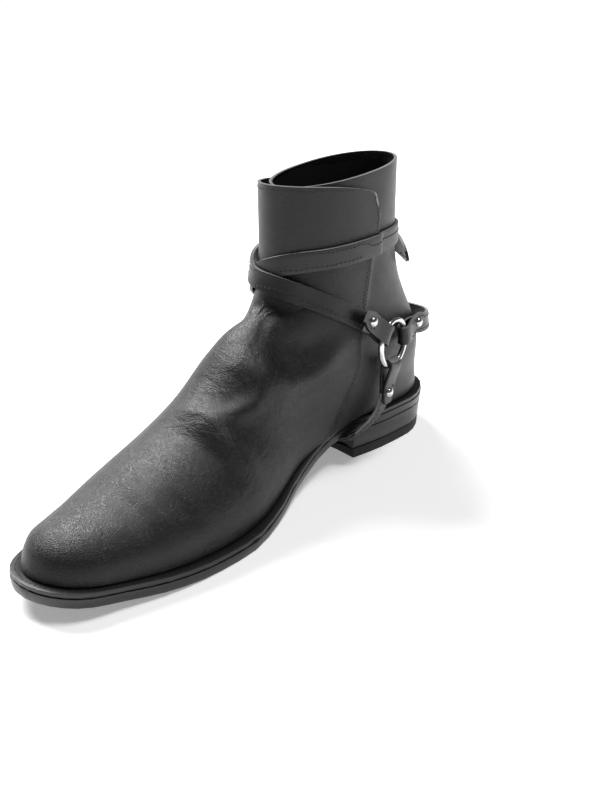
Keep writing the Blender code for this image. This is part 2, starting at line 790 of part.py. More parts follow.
def build_cross_straps(collection, material, rings):
    medial, lateral = rings
    rising = np.array([70, 61, 52, 44, 37, 30, 23, 16, 10, 4, -2])
    front = np.concatenate((rising, [-8, -14, -20, -27, -34, -42, -51, -61, -73, -86]))
    buckle = np.array([-98, -105, -108, -111, -118, -124, -131, -137])
    ending = np.array([-144, -152, -159, -166, -172, -178, -184, -190])
    angles = np.concatenate((front, buckle, ending, [-194, -196]))
    widths = np.concatenate((np.ones(len(angles) - 3), [0.9, 0.55, 0.2]))
    rise = base_rise(angles) + crossing_rise(angles) + buckle_rise(angles)
    low = medial.fold(FRONT_FOLD) + route_sections(CROSS_STRAP_LOW, angles, rise, -1, widths)
    loft("cross_strap_low", low, material, collection)
    behind = [98, 105, 108, 111, 121, 134, 146, 157, 165, 171, 176, 180, 184, 189, 195, 203, 211]
    angles = np.concatenate((-front, behind))
    high = lateral.fold(FRONT_FOLD) + route_sections(CROSS_STRAP_HIGH, angles, base_rise(angles), 1)
    loft("cross_strap_high", high + buckle_fold(), material, collection)


def strap_spot(route, angle):
    """World point and outward normal on the form under the middle of a strap."""
    point, out = skin(angle, route_height(route, angle))
    return Vector(point[0]), Vector(out[0])


def buckle_frame_axes():
    """Where the buckle's front and rear bars cross the strap's middle, with the normals there."""
    return [strap_spot(CROSS_STRAP_LOW, angle) for angle in BUCKLE_ANGLES]


def buckle_fold():
    """The end of the upper strap, thinned and turned under round the buckle's rear bar."""
    front, rear = buckle_frame_axes()
    travel = (front[0] - rear[0]).normalized()
    facing = rear[1]
    across = facing.cross(travel).normalized()
    radius = BUCKLE_WIRE + JOINT_GAP + FOLD_THICKNESS / 2
    wire = rear[0] + facing * buckle_bar_rise(0)
    path = [(-0.45 * STRAP_WIDTH, 0.2 * radius, 0), (-radius, 0.9 * radius, 0)]
    for i in range(5):
        bend = math.pi / 2 - math.pi * i / 4
        path.append((radius * math.cos(bend), radius * math.sin(bend), 0))
    path.append((-0.35 * STRAP_WIDTH, -radius, 0))
    return fold_sections(wire, -travel, facing, across, path, FOLD_THICKNESS, 0)


def buckle_bar_rise(front):
    """Height of a bar's middle off the form: the rear bar in the fold, the front bar over the strap."""
    if front:
        return STRAP_CLEARANCE + STRAP_THICKNESS + JOINT_GAP + BUCKLE_WIRE
    return STRAP_CLEARANCE + 1.5 * FOLD_THICKNESS + JOINT_GAP + BUCKLE_WIRE


def tube(name, points, radius, material, collection, closed):
    """A wire through the points, as a curve with a round bevel."""
    curve = bpy.data.curves.new(name, "CURVE")
    curve.dimensions = "3D"
    curve.bevel_depth = radius
    curve.bevel_resolution = 2
    curve.use_fill_caps = True
    spline = curve.splines.new("POLY")
    spline.points.add(len(points) - 1)
    for node, point in zip(spline.points, points):
        node.co = (*point, 1)
    spline.use_cyclic_u = closed
    curve.materials.append(material)
    obj = bpy.data.objects.new(name, curve)
    collection.objects.link(obj)
    return obj


def build_buckle(collection, metal, leather):
    front, rear = buckle_frame_axes()
    ends = [front[0] + front[1] * buckle_bar_rise(1), rear[0] + rear[1] * buckle_bar_rise(0)]
    run = (ends[1] - ends[0]).normalized()
    facing = ((front[1] + rear[1]) / 2).normalized()
    across = facing.cross(run).normalized()
    half = STRAP_WIDTH / 2 + 2 * JOINT_GAP + BUCKLE_WIRE
    corner = 1.2 * BUCKLE_WIRE
    points = []
    for end, way in ((ends[0], -1), (ends[1], 1)):
        for side in (1, -1) if way < 0 else (-1, 1):
            post = end + across * side * half
            inner = post - across * side * corner
            back = post - run * way * corner
            points += [inner, post - (across * side + run * way) * 0.3 * corner, back] if side * way > 0 else []
            points += [back, post - (across * side + run * way) * 0.3 * corner, inner] if side * way < 0 else []
    tube("buckle_frame", points, BUCKLE_WIRE, metal, collection, True)
    prong = []
    lift = STRAP_THICKNESS + JOINT_GAP + 0.7 * BUCKLE_WIRE
    for angle in (-130, -125, -120):
        point, out = strap_spot(CROSS_STRAP_LOW, angle)
        prong.append(point + out * (float(base_rise(angle) + buckle_rise(angle)) + lift))
    prong.append(ends[0] + facing * (1.7 * BUCKLE_WIRE + JOINT_GAP))
    prong.append(ends[0] - run * 1.6 * BUCKLE_WIRE + facing * (1.6 * BUCKLE_WIRE + JOINT_GAP))
    tube("buckle_prong", prong, 0.7 * BUCKLE_WIRE, metal, collection, False)
    build_keeper(collection, leather)


def build_keeper(collection, material):
    """A leather loop that holds the strap's free end down on the strap below."""
    sections = []
    rise = STRAP_CLEARANCE + 2 * STRAP_THICKNESS + STRAP_CLEARANCE + JOINT_GAP
    half = STRAP_WIDTH / 2 + JOINT_GAP
    centre, normal = strap_spot(CROSS_STRAP_HIGH, KEEPER_ANGLE)
    after = strap_spot(CROSS_STRAP_HIGH, KEEPER_ANGLE + 4)[0]
    run = (after - centre).normalized()
    across = normal.cross(run).normalized()
    thick = KEEPER_THICKNESS
    profile = [(-half - thick, JOINT_GAP), (-half, JOINT_GAP), (-half, rise), (half, rise), (half, JOINT_GAP)]
    profile += [(half + thick, JOINT_GAP), (half + thick, rise + thick), (-half - thick, rise + thick)]
    for step in (-0.5, 0.5):
        sections.append([centre + run * KEEPER_WIDTH * step + across * a + normal * n for a, n in profile])
    return loft("strap_keeper", sections, material, collection)


def build_free_straps(collection, material, rings):
    medial, lateral = rings
    heel = medial.fold(HEEL_FOLD)
    lateral_half = [Loose(row.place, -row.side, row.height) for row in HEEL_STRAP_HALF[::-1]]
    core = spot(0.25 * LENGTH, 0, 0.39 * SHAFT_HEIGHT)
    heel += free_sections(HEEL_STRAP_HALF + lateral_half, core, 2)
    heel += [flipped(section) for section in lateral.fold(HEEL_FOLD)[::-1]]
    loft("heel_strap", heel, material, collection)
    core = spot(0.27 * LENGTH, 0, 0.26 * SHAFT_HEIGHT)
    arch = medial.fold(ARCH_FOLD)
    arch += free_sections(ARCH_STRAP_MEDIAL + ARCH_STRAP_LATERAL, core, 1)
    arch += [flipped(section) for section in lateral.fold(ARCH_FOLD)[::-1]]
    loft("arch_strap", arch, material, collection)


def take_primitive(name, material, collection):
    """Names the primitive just added, moves it to the part's collection and gives it its material."""
    obj = bpy.context.active_object
    obj.name = name
    for holder in list(obj.users_collection):
        holder.objects.unlink(obj)
    collection.objects.link(obj)
    obj.data.materials.append(material)
    obj.data.shade_smooth()
    obj.data.set_sharp_from_angle(angle=math.radians(40))
    return obj


def build_hardware(collection, metal, rings):
    for side, ring in zip(("medial", "lateral"), rings):
        bpy.ops.mesh.primitive_torus_add(
            major_segments=30, minor_segments=8, major_radius=RING_RADIUS, minor_radius=RING_WIRE
        )
        obj = take_primitive(f"ring_{side}", metal, collection)
        turn = ring.normal.to_track_quat("Z", "Y")
        obj.matrix_world = Matrix.LocRotScale(ring.centre, turn, None)
        for place, angle in (("front", FRONT_FOLD), ("heel", HEEL_FOLD), ("arch", ARCH_FOLD)):
            bpy.ops.mesh.primitive_cylinder_add(vertices=12, radius=RIVET_RADIUS, depth=RIVET_HEIGHT)
            rivet = take_primitive(f"rivet_{place}_{side}", metal, collection)
            seat = ring.rivet_seat(angle) + ring.normal * RIVET_HEIGHT / 2
            rivet.matrix_world = Matrix.LocRotScale(seat, turn, None)


def main():
    clear_scene()
    boot = new_collection("jodhpur_boot")
    calf = finish("black_calf", "17181b", 0.38)
    strap_leather = finish("strap_leather", "1a1a1c", 0.42)
    sole_leather = finish("sole_leather", "1d1a18", 0.55)
    rubber = finish("heel_rubber", "151515", 0.7)
    lining = finish("sock_leather", "1c1c1c", 0.6)
    steel = finish("plated_steel", "b9babd", 0.25, 1.0)
    rings = (Ring(1), Ring(-1))
    build_sole(boot, sole_leather, rubber)
    build_welt(boot, sole_leather)
    build_insole(boot, lining)
    build_upper(boot, calf)
    build_flap(boot, calf)
    build_cross_straps(boot, strap_leather, rings)
    build_free_straps(boot, strap_leather, rings)
    build_buckle(boot, steel, strap_leather)
    build_hardware(boot, steel, rings)


main()
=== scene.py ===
import math

import bpy
import numpy as np
from mathutils import Matrix, Vector
from mathutils.bvhtree import BVHTree


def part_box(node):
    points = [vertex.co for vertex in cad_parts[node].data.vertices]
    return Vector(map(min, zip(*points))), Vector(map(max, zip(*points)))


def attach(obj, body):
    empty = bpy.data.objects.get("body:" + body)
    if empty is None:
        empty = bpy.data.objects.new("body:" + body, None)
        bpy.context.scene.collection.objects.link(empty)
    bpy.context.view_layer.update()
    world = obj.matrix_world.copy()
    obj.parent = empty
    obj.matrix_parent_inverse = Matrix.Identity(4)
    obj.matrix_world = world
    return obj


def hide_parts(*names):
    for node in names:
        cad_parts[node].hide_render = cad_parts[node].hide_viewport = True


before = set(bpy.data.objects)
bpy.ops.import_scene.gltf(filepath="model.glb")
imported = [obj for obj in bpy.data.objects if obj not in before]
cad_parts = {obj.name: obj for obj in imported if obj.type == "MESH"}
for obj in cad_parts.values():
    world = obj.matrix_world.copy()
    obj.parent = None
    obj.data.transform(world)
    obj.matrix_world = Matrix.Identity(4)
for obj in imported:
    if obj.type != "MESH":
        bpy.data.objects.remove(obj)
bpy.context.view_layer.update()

SCENE = bpy.context.scene


# Heel: a rubber top piece under a stack of leather lifts. The lifts are glued and pegged, sanded as one
# block, then inked and burnished, so only fine lines between them still show on the side.
def linear(hexcode):
    """An sRGB hex value as linear light, with full alpha."""
    channels = [int(hexcode[i : i + 2], 16) / 255 for i in (1, 3, 5)]
    return (*[c / 12.92 if c <= 0.04045 else ((c + 0.055) / 1.055) ** 2.4 for c in channels], 1.0)


def add_node(material, kind, settings=None, links=None):
    """A node with its settings and links. A name with a capital letter is a socket's."""
    node = material.node_tree.nodes.new(kind)
    for key, value in (settings or {}).items():
        if key[0].isupper():
            node.inputs[key].default_value = value
        else:
            setattr(node, key, value)
    for key, source in (links or {}).items():
        material.node_tree.links.new(source, node.inputs[key])
    return node


def surface(name, roughness, metallic=0.0, **sockets):
    """A material and its shader, with the numbers that are the same all over set on the shader."""
    material = bpy.data.materials.new(name)
    material.use_nodes = True
    shader = material.node_tree.nodes["Principled BSDF"]
    shader.inputs["Roughness"].default_value = roughness
    shader.inputs["Metallic"].default_value = metallic
    for socket, value in sockets.items():
        shader.inputs[socket.replace("_", " ")].default_value = value
    return material, shader


def pick(piece):
    """Leaves only this piece selected and active."""
    bpy.ops.object.select_all(action="DESELECT")
    piece.select_set(True)
    bpy.context.view_layer.objects.active = piece


def copy_of(node, name, fold=35):
    """A piece from a node's own form: merged, in quads, its sharp edges creased for the subdivision."""
    piece = bpy.data.objects.new(name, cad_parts[node].data.copy())
    SCENE.collection.objects.link(piece)
    pick(piece)
    bpy.ops.mesh.customdata_custom_splitnormals_clear()
    bpy.ops.object.mode_set(mode="EDIT")
    bpy.ops.mesh.select_mode(type="EDGE")
    bpy.ops.mesh.select_all(action="SELECT")
    bpy.ops.mesh.remove_doubles(threshold=1e-5)
    bpy.ops.mesh.tris_convert_to_quads(face_threshold=math.radians(70), shape_threshold=math.radians(130))
    bpy.ops.mesh.select_all(action="DESELECT")
    bpy.ops.mesh.edges_select_sharp(sharpness=math.radians(fold))
    bpy.ops.transform.edge_crease(value=0.9)
    bpy.ops.object.mode_set(mode="OBJECT")
    piece.data.materials.clear()
    return piece


def use(piece, kind, **settings):
    """Puts a modifier on the piece and applies it."""
    pick(piece)
    modifier = piece.modifiers.new(kind.lower(), kind)
    for key, value in settings.items():
        setattr(modifier, key, value)
    bpy.ops.object.modifier_apply(modifier=modifier.name)


def rounded(piece, levels, edge=0.0, corner=40):
    """Smooths the piece, and turns its remaining edges over a small radius."""
    if edge:
        use(piece, "BEVEL", width=edge, segments=2, limit_method="ANGLE", angle_limit=math.radians(corner))
    if levels:
        use(piece, "SUBSURF", levels=levels, render_levels=levels)
    pick(piece)
    bpy.ops.object.shade_smooth_by_angle(angle=math.radians(50))


def hand_over(piece, material, slot, *nodes):
    """Dresses a piece and lets it stand for its nodes on the body. Its slot is not used."""
    piece.data.materials.append(material)
    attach(piece, "root")
    if nodes:
        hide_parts(*nodes)


# Moulded heel rubber: matt and slightly dusty, with a pebble too fine to reflect anything.
heel_rubber, shader = surface("moulded_heel_rubber", 0.72)
where = add_node(heel_rubber, "ShaderNodeTexCoord")
pebble = add_node(heel_rubber, "ShaderNodeTexNoise", {"Scale": 1 / 0.0012, "Detail": 3.0},
                  {"Vector": where.outputs["Object"]})
shade = add_node(heel_rubber, "ShaderNodeMixRGB", {"Color1": linear("#131314"), "Color2": linear("#242425")},
                 {"Fac": pebble.outputs["Fac"]})
bump = add_node(heel_rubber, "ShaderNodeBump", {"Distance": 0.00008}, {"Height": pebble.outputs["Fac"]})
heel_rubber.node_tree.links.new(shade.outputs["Color"], shader.inputs["Base Color"])
heel_rubber.node_tree.links.new(bump.outputs["Normal"], shader.inputs["Normal"])

top_lift = copy_of("heel_top_piece", "top_lift")
rounded(top_lift, 0, edge=0.0005)
hand_over(top_lift, heel_rubber, "heel_rubber", "heel_top_piece")

# Inked and waxed edge of vegetable-tanned leather: dark, a little brown, with layer lines along it.
LIFT = 0.0032
WAVE_PERIOD = 2 * math.pi / 20
sole_edge, shader = surface("inked_sole_leather", 0.42, Coat_Weight=0.12, Coat_Roughness=0.3)
where = add_node(sole_edge, "ShaderNodeTexCoord")
lifts = add_node(sole_edge, "ShaderNodeTexWave",
                 {"bands_direction": "Z", "wave_profile": "SAW", "Scale": WAVE_PERIOD / LIFT,
                  "Distortion": 0.4},
                 {"Vector": where.outputs["Object"]})
fibre = add_node(sole_edge, "ShaderNodeTexNoise", {"Scale": 1 / 0.0018, "Detail": 4.0},
                 {"Vector": where.outputs["Object"]})
shade = add_node(sole_edge, "ShaderNodeMixRGB", {"Color1": linear("#080808"), "Color2": linear("#151312")},
                 {"Fac": fibre.outputs["Fac"]})
bump = add_node(sole_edge, "ShaderNodeBump", {"Strength": 0.35, "Distance": 0.0001},
                {"Height": lifts.outputs["Fac"]})
rough = add_node(sole_edge, "ShaderNodeBump", {"Strength": 0.5, "Distance": 0.00006},
                 {"Height": fibre.outputs["Fac"], "Normal": bump.outputs["Normal"]})
sole_edge.node_tree.links.new(shade.outputs["Color"], shader.inputs["Base Color"])
sole_edge.node_tree.links.new(rough.outputs["Normal"], shader.inputs["Normal"])

lift_stack = copy_of("heel_stack", "lift_stack")
rounded(lift_stack, 0, edge=0.0003)
hand_over(lift_stack, sole_edge, "sole_leather", "heel_stack")


# Outsole: one leather sole from toe to heel, stitched to the welt in front and lasted to the heel
# behind. Its edge is trimmed and set with a hot iron.
sole_leather = copy_of("outsole", "sole_leather_bottom")
rounded(sole_leather, 0, edge=0.0005)
hand_over(sole_leather, sole_edge, "sole_leather", "outsole")


# Welt: a strip of leather sewn round the feather edge. The sole is sewn up through it, and that seam
# lies in its top as a row of short waxed stitches.
welt_strip = copy_of("welt", "welt_strip")
rounded(welt_strip, 0, edge=0.0003)
hand_over(welt_strip, sole_edge, "sole_leather", "welt")

# Waxed linen thread: nearly black, with a soft sheen from the wax. Its twist shows as flecks half a
# millimetre long.
TWIST = 0.0005
waxed_thread, shader = surface("waxed_linen_thread", 0.5)
where = add_node(waxed_thread, "ShaderNodeTexCoord")
twist = add_node(waxed_thread, "ShaderNodeTexNoise", {"Scale": 1 / TWIST},
                 {"Vector": where.outputs["Object"]})
shade = add_node(waxed_thread, "ShaderNodeMixRGB", {"Color1": linear("#040404"), "Color2": linear("#0c0b0c")},
                 {"Fac": twist.outputs["Fac"]})
waxed_thread.node_tree.links.new(shade.outputs["Color"], shader.inputs["Base Color"])


def tree_of(piece):
    return BVHTree.FromObject(piece, bpy.context.evaluated_depsgraph_get())


LONGEST_STEP = 0.009
# Half a stitch's length, as a share of the pitch: the rest is the gap at its needle holes.
HALF_STITCH = 0.36


def stitches(name, rows, pitch, thread, slot):
    """Rows of stitches as one mesh. A row is a list of places and the way out of the leather there."""
    bpy.ops.object.select_all(action="DESELECT")
    bpy.ops.mesh.primitive_uv_sphere_add(segments=6, ring_count=4, radius=1)
    one = bpy.context.object
    round_form = np.array([v.co for v in one.data.vertices])
    faces = [tuple(f.vertices) for f in one.data.polygons]
    bpy.data.objects.remove(one)
    points, sides = [], []
    for row in rows:
        if len(row) < 2:
            continue
        at = np.array([p for p, _ in row])
        out = np.array([n for _, n in row])
        way = np.concatenate(([0], np.cumsum(np.linalg.norm(np.diff(at, axis=0), axis=1))))
        for middle in np.arange(pitch / 2, way[-1], pitch):
            # Nothing is sewn across a gap in the row.
            if np.diff(way)[np.searchsorted(way, middle) - 1] > LONGEST_STEP:
                continue
            place = [np.interp(middle, way, at[:, i]) for i in range(3)]
            ahead = [np.interp(middle + pitch / 2, way, at[:, i]) for i in range(3)]
            back = [np.interp(middle - pitch / 2, way, at[:, i]) for i in range(3)]
            normal = Vector([np.interp(middle, way, out[:, i]) for i in range(3)]).normalized()
            run = (Vector(ahead) - Vector(back)).normalized()
            cross = normal.cross(run).normalized()
            shape = np.array([run * pitch * HALF_STITCH, cross * thread, normal * thread])
            sides += [tuple(len(points) + v for v in face) for face in faces]
            points += list(np.array(place) + (round_form[:, [2, 0, 1]] @ shape))
    mesh = bpy.data.meshes.new(name)
    mesh.from_pydata([tuple(p) for p in points], [], sides)
    piece = bpy.data.objects.new(name, mesh)
    SCENE.collection.objects.link(piece)
    pick(piece)
    bpy.ops.object.mode_set(mode="EDIT")
    bpy.ops.mesh.select_all(action="SELECT")
    bpy.ops.mesh.normals_make_consistent(inside=False)
    bpy.ops.object.mode_set(mode="OBJECT")
    bpy.ops.object.shade_smooth()
    hand_over(piece, waxed_thread, slot)
    return piece


WELT_SEAM_INSET = 0.0021
WELT_SEAM_BACK = -0.085
WELT_STEP = 0.004
WELT_PITCH = 0.0026
WELT_THREAD = 0.00035
WIDEST = 0.07
SEARCH_STEP = 0.0004
ABOVE_WELT = 0.08
DOWN = Vector((0, 0, -1))
TOE_CENTRE = Vector((0.0135, -0.222, 0))
welt_tree = tree_of(welt_strip)


def welt_edge(start, out):
    """The place on the welt's top that lies the seam's inset from its outer edge."""
    for step in np.arange(WIDEST, 0.0, -SEARCH_STEP):
        place = start + out * step
        hit = welt_tree.ray_cast(Vector((place.x, place.y, ABOVE_WELT)), DOWN)[0]
        if hit:
            place = start + out * (step - WELT_SEAM_INSET)
            hit, normal, _, _ = welt_tree.ray_cast(Vector((place.x, place.y, ABOVE_WELT)), DOWN)
            return (hit, normal) if hit else None
    return None


# The row runs forward on the medial side, round the toe, and back on the lateral side.
forward = np.arange(WELT_SEAM_BACK, TOE_CENTRE.y, -WELT_STEP)
backward = np.arange(TOE_CENTRE.y, WELT_SEAM_BACK, WELT_STEP)
row = [welt_edge(Vector((0, y, 0)), Vector((1, 0, 0))) for y in forward]
row += [welt_edge(TOE_CENTRE, Vector((math.cos(a), -math.sin(a), 0))) for a in np.linspace(0, math.pi, 40)]
row += [welt_edge(Vector((0, y, 0)), Vector((-1, 0, 0))) for y in backward]
stitches("welt_stitches", [[r for r in row if r]], WELT_PITCH, WELT_THREAD, "sole_leather")


# Insole: a leather board with a glued sock of thin lining leather, which shows only down the shaft.
DRIFT = 0.022
WRINKLE = 0.006
PORE_SHARE = 0.45
BEND_BACK = (-0.075, -0.120)
BEND_TOE = (-0.215, -0.185)


def hide(name, deep, worn, grain, depth, roughness, spread, folds=0.0, **sockets):
    """Leather with its grain in bump, and a colour and gloss that drift across the skin."""
    material, shader = surface(name, roughness, **sockets)
    where = add_node(material, "ShaderNodeTexCoord")
    at = {"Vector": where.outputs["Object"]}
    cells = add_node(material, "ShaderNodeTexVoronoi",
                     {"feature": "DISTANCE_TO_EDGE", "Scale": 1 / grain}, at)
    flat = add_node(material, "ShaderNodeMapRange", {"From Max": 0.25}, {"Value": cells.outputs["Distance"]})
    drift = add_node(material, "ShaderNodeTexNoise", {"Scale": 1 / DRIFT, "Detail": 3.0}, at)
    pores = add_node(material, "ShaderNodeTexNoise", {"Scale": 1 / (PORE_SHARE * grain), "Detail": 2.0}, at)
    bump = add_node(material, "ShaderNodeBump", {"Strength": 0.7, "Distance": depth},
                    {"Height": flat.outputs["Result"]})
    fine = add_node(material, "ShaderNodeBump", {"Strength": 0.4, "Distance": depth},
                    {"Height": pores.outputs["Fac"], "Normal": bump.outputs["Normal"]})
    last = fine
    if folds:
        stretch = add_node(material, "ShaderNodeMapping", {"Scale": (0.35, 1.0, 1.0)}, at)
        lines = add_node(material, "ShaderNodeTexNoise",
                         {"Scale": 1 / WRINKLE, "Detail": 3.0, "Distortion": 0.8},
                         {"Vector": stretch.outputs["Vector"]})
        # The small wrinkles lie only where the foot bends, between ankle and toe.
        axes = add_node(material, "ShaderNodeSeparateXYZ", None, at)
        bent = add_node(material, "ShaderNodeMapRange",
                        {"From Min": BEND_BACK[0], "From Max": BEND_BACK[1], "To Max": 0.7},
                        {"Value": axes.outputs["Y"]})
        toe = add_node(material, "ShaderNodeMapRange", {"From Min": BEND_TOE[0], "From Max": BEND_TOE[1]},
                       {"Value": axes.outputs["Y"]})
        both = add_node(material, "ShaderNodeMath", {"operation": "MULTIPLY"})
        material.node_tree.links.new(bent.outputs["Result"], both.inputs[0])
        material.node_tree.links.new(toe.outputs["Result"], both.inputs[1])
        last = add_node(material, "ShaderNodeBump", {"Distance": folds},
                        {"Height": lines.outputs["Fac"], "Normal": fine.outputs["Normal"],
                         "Strength": both.outputs["Value"]})
    shade = add_node(material, "ShaderNodeMixRGB", {"Color1": linear(deep), "Color2": linear(worn)},
                     {"Fac": drift.outputs["Fac"]})
    gloss = add_node(material, "ShaderNodeMapRange",
                     {"From Min": 0.3, "From Max": 0.7,
                      "To Min": roughness - spread, "To Max": roughness + spread},
                     {"Value": drift.outputs["Fac"]})
    material.node_tree.links.new(shade.outputs["Color"], shader.inputs["Base Color"])
    material.node_tree.links.new(gloss.outputs["Result"], shader.inputs["Roughness"])
    material.node_tree.links.new(last.outputs["Normal"], shader.inputs["Normal"])
    return material


# Glazed lining leather: flat black, almost without gloss, its grain pressed nearly smooth.
lining = hide("glazed_lining_leather", "#121113", "#1e1c1f", 0.0009, 0.00004, 0.55, 0.05)

sock = copy_of("insole", "sock")
rounded(sock, 0, edge=0.0003)
hand_over(sock, lining, "sock_leather", "insole")


# Upper: vamp and quarters of box calf, lasted over the form, with a lining glued in and a folded
# topline. Walking has set soft creases across the vamp and the front of the ankle.
HEEL_REST = 0.035
# Box calf: chrome tanned and glazed, deep black with a broad soft shine. The cells of its grain are drawn
# 0.9 mm wide, about twice their real size, because the real ones are too fine to show.
calf = hide("box_calf", "#09090b", "#121114", 0.0009, 0.00012, 0.40, 0.05, folds=0.0009,
            Specular_IOR_Level=0.42, IOR=1.5)
# Folded calf edge: a painted highlight, much lighter than the skin round it where edges catch the light, and
# a little smoother.
painted_highlight_edge = hide("calf_edge_painted_highlight", "#6f6d72", "#8c8a8f", 0.0008, 0.00003, 0.38, 0.04)

# Each crease runs through places given as millimetres forward from the heel, to the medial side and
# up. A trough has a negative depth, a ridge a positive one.
CREASES = [
    ("toe trough", -1.2, 5.0, ((244, -7, 40), (247, 16, 39), (245, 27, 36), (243, 38, 26))),
    ("toe ridge", 0.8, 4.0, ((240, 22, 40), (241, 31, 35), (239, 37, 29))),
    ("ball wrinkle", -0.9, 3.4, ((233, 24, 41), (230, 36, 34), (223, 44, 24))),
    ("vamp trough", -2.2, 6.0, ((206, -2, 56), (205, 16, 56), (203, 28, 51), (199, 36, 43), (193, 42, 31))),
    ("vamp ridge", 2.2, 5.0, ((193, -2, 62), (191, 13, 64), (192, 26, 57), (188, 36, 47), (182, 42, 34))),
    ("vamp hollow", -1.6, 7.0, ((184, 26, 60), (172, 34, 50), (160, 39, 38))),
    ("waist fold", 1.2, 7.0, ((176, 40, 46), (160, 42, 34), (146, 40, 26))),
    ("instep ridge", 2.2, 5.5, ((192, 17, 61), (182, 24, 63), (170, 28, 66), (160, 28, 72))),
    ("second trough", -0.8, 6.5, ((182, 2, 70), (180, 18, 66), (180, 30, 56), (180, 38, 42))),
    ("ankle hollow", -2.2, 9.0, ((152, 8, 95), (143, 19, 87), (128, 25, 83), (112, 28, 86))),
    ("low ankle ridge", 3.2, 8.0, ((168, 6, 84), (160, 21, 77), (146, 29, 67), (126, 31, 66), (110, 29, 73),
                                   (98, 27, 80))),
]

boot_upper = copy_of("upper", "boot_upper", fold=55)
use(boot_upper, "SUBSURF", levels=2, render_levels=2)
EASED_FROM, EASED_TO = 0.034, 0.150
soft = boot_upper.vertex_groups.new(name="skin")
soft.add([v.index for v in boot_upper.data.vertices if EASED_FROM < v.co.z < EASED_TO], 1.0, "ADD")
use(boot_upper, "SMOOTH", factor=0.5, iterations=8, vertex_group="skin")
mesh = boot_upper.data
tree = tree_of(boot_upper)
place = np.array([v.co for v in mesh.vertices])
normal = np.array([v.normal for v in mesh.vertices])
REACH = 0.32
SKIP = 0.0004
# From the lining at least seven of eight level directions meet the wall again, and from outside fewer do.
AROUND = [Vector((math.cos(a), math.sin(a), 0)) for a in np.arange(8) * math.pi / 4]
WALLED_IN = 7
facing_in = np.array([
    sum(tree.ray_cast(v.co + v.normal * SKIP, way, REACH)[0] is not None for way in AROUND) >= WALLED_IN
    for v in mesh.vertices
])
outward = np.where(facing_in[:, None], -normal, normal)
shift = np.zeros(len(place))
for _, depth, width, path in CREASES:
    path = np.array([(side, HEEL_REST * 1000 - ahead, up) for ahead, side, up in path]) / 1000
    nearest = np.full(len(place), np.inf)
    along = np.zeros(len(place))
    for i in range(len(path) - 1):
        run = path[i + 1] - path[i]
        t = np.clip((place - path[i]) @ run / (run @ run), 0, 1)
        gap = np.linalg.norm(place - path[i] - t[:, None] * run, axis=1)
        closer = gap < nearest
        nearest = np.where(closer, gap, nearest)
        along = np.where(closer, (i + t) / (len(path) - 1), along)
    # A crease is deepest in the middle of its path and fades towards both ends.
    ends = np.sin(np.pi * (0.03 + 0.94 * along)) ** 0.7
    shift += depth / 1000 * ends * np.exp(-((nearest / (width / 1000)) ** 2))
place = place + outward * shift[:, None]
mesh.vertices.foreach_set("co", place.ravel())
mesh.update()

mesh.materials.append(calf)
mesh.materials.append(lining)
mesh.materials.append(painted_highlight_edge)
# The folded edge gets the painted highlight: what faces up within 20 mm of the collar's highest point.
RIM_DEPTH = 0.020
RIM_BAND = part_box("upper")[1].z - RIM_DEPTH
for face in mesh.polygons:
    inner = sum(facing_in[v] for v in face.vertices) >= 3
    high = face.center.z > RIM_BAND and face.normal.z > 0.5
    face.material_index = 2 if high else 1 if inner else 0
pick(boot_upper)
bpy.ops.object.shade_smooth_by_angle(angle=math.radians(60))
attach(boot_upper, "root")
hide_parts("upper")

# Side seams: the vamp laps over the quarter, held by two rows of fine stitches beside its edge.
SEAM = ((0.12, 0.365), (0.17, 0.345), (0.22, 0.325), (0.29, 0.302), (0.36, 0.284),
        (0.43, 0.281), (0.54, 0.262), (0.68, 0.236), (0.82, 0.222), (0.93, 0.216))
SHAFT_HEIGHT = 0.173
LENGTH = 0.300
SEAM_TOP = 0.74
SEAM_ROWS = (0.0022, 0.0042)
FINE_PITCH = 0.0021
FINE_THREAD = 0.00032
BESIDE = 0.1
upper_tree = tree_of(boot_upper)
rows = []
for side in (1, -1):
    for inset in SEAM_ROWS:
        row = []
        for height in np.linspace(SEAM[0][0], SEAM_TOP, 50):
            ahead = np.interp(height, [s[0] for s in SEAM], [s[1] for s in SEAM]) * LENGTH + inset
            start = Vector((side * BESIDE, HEEL_REST - ahead, height * SHAFT_HEIGHT))
            hit, out, _, _ = upper_tree.ray_cast(start, Vector((-side, 0, 0)))
            if hit:
                row.append((hit, out))
        rows.append(row)
stitches("seam_stitches", rows, FINE_PITCH, FINE_THREAD, "black_calf")


# Front flap: the free top of the vamp, one thickness of calf with a turned edge and a row of stitches.
flap_panel = copy_of("front_flap", "flap_panel")
rounded(flap_panel, 1, edge=0.0008)
hand_over(flap_panel, calf, "black_calf", "front_flap")
flap_panel.data.materials.append(painted_highlight_edge)
# The turned edge shows as a light line of painted highlight: all that lies within a millimetre of the rim.
SHAFT_AXIS = Vector((0, -0.045, 0))
PAINTED_EDGE_WIDTH = 0.0010
centres = np.array([face.center for face in flap_panel.data.polygons])
normals = np.array([face.normal for face in flap_panel.data.polygons])
from_axis = (centres - np.array(SHAFT_AXIS)) * (1, 1, 0)
from_axis /= np.linalg.norm(from_axis, axis=1, keepdims=True)
rim = centres[np.abs((normals * from_axis).sum(axis=1)) < 0.5]
for face, centre in zip(flap_panel.data.polygons, centres):
    face.material_index = int(np.linalg.norm(rim - centre, axis=1).min() < PAINTED_EDGE_WIDTH)


OUTSIDE = 0.15
OUTER_FACE = 0.2
ACROSS_STEP = 0.0005
FEWEST_HITS = 6


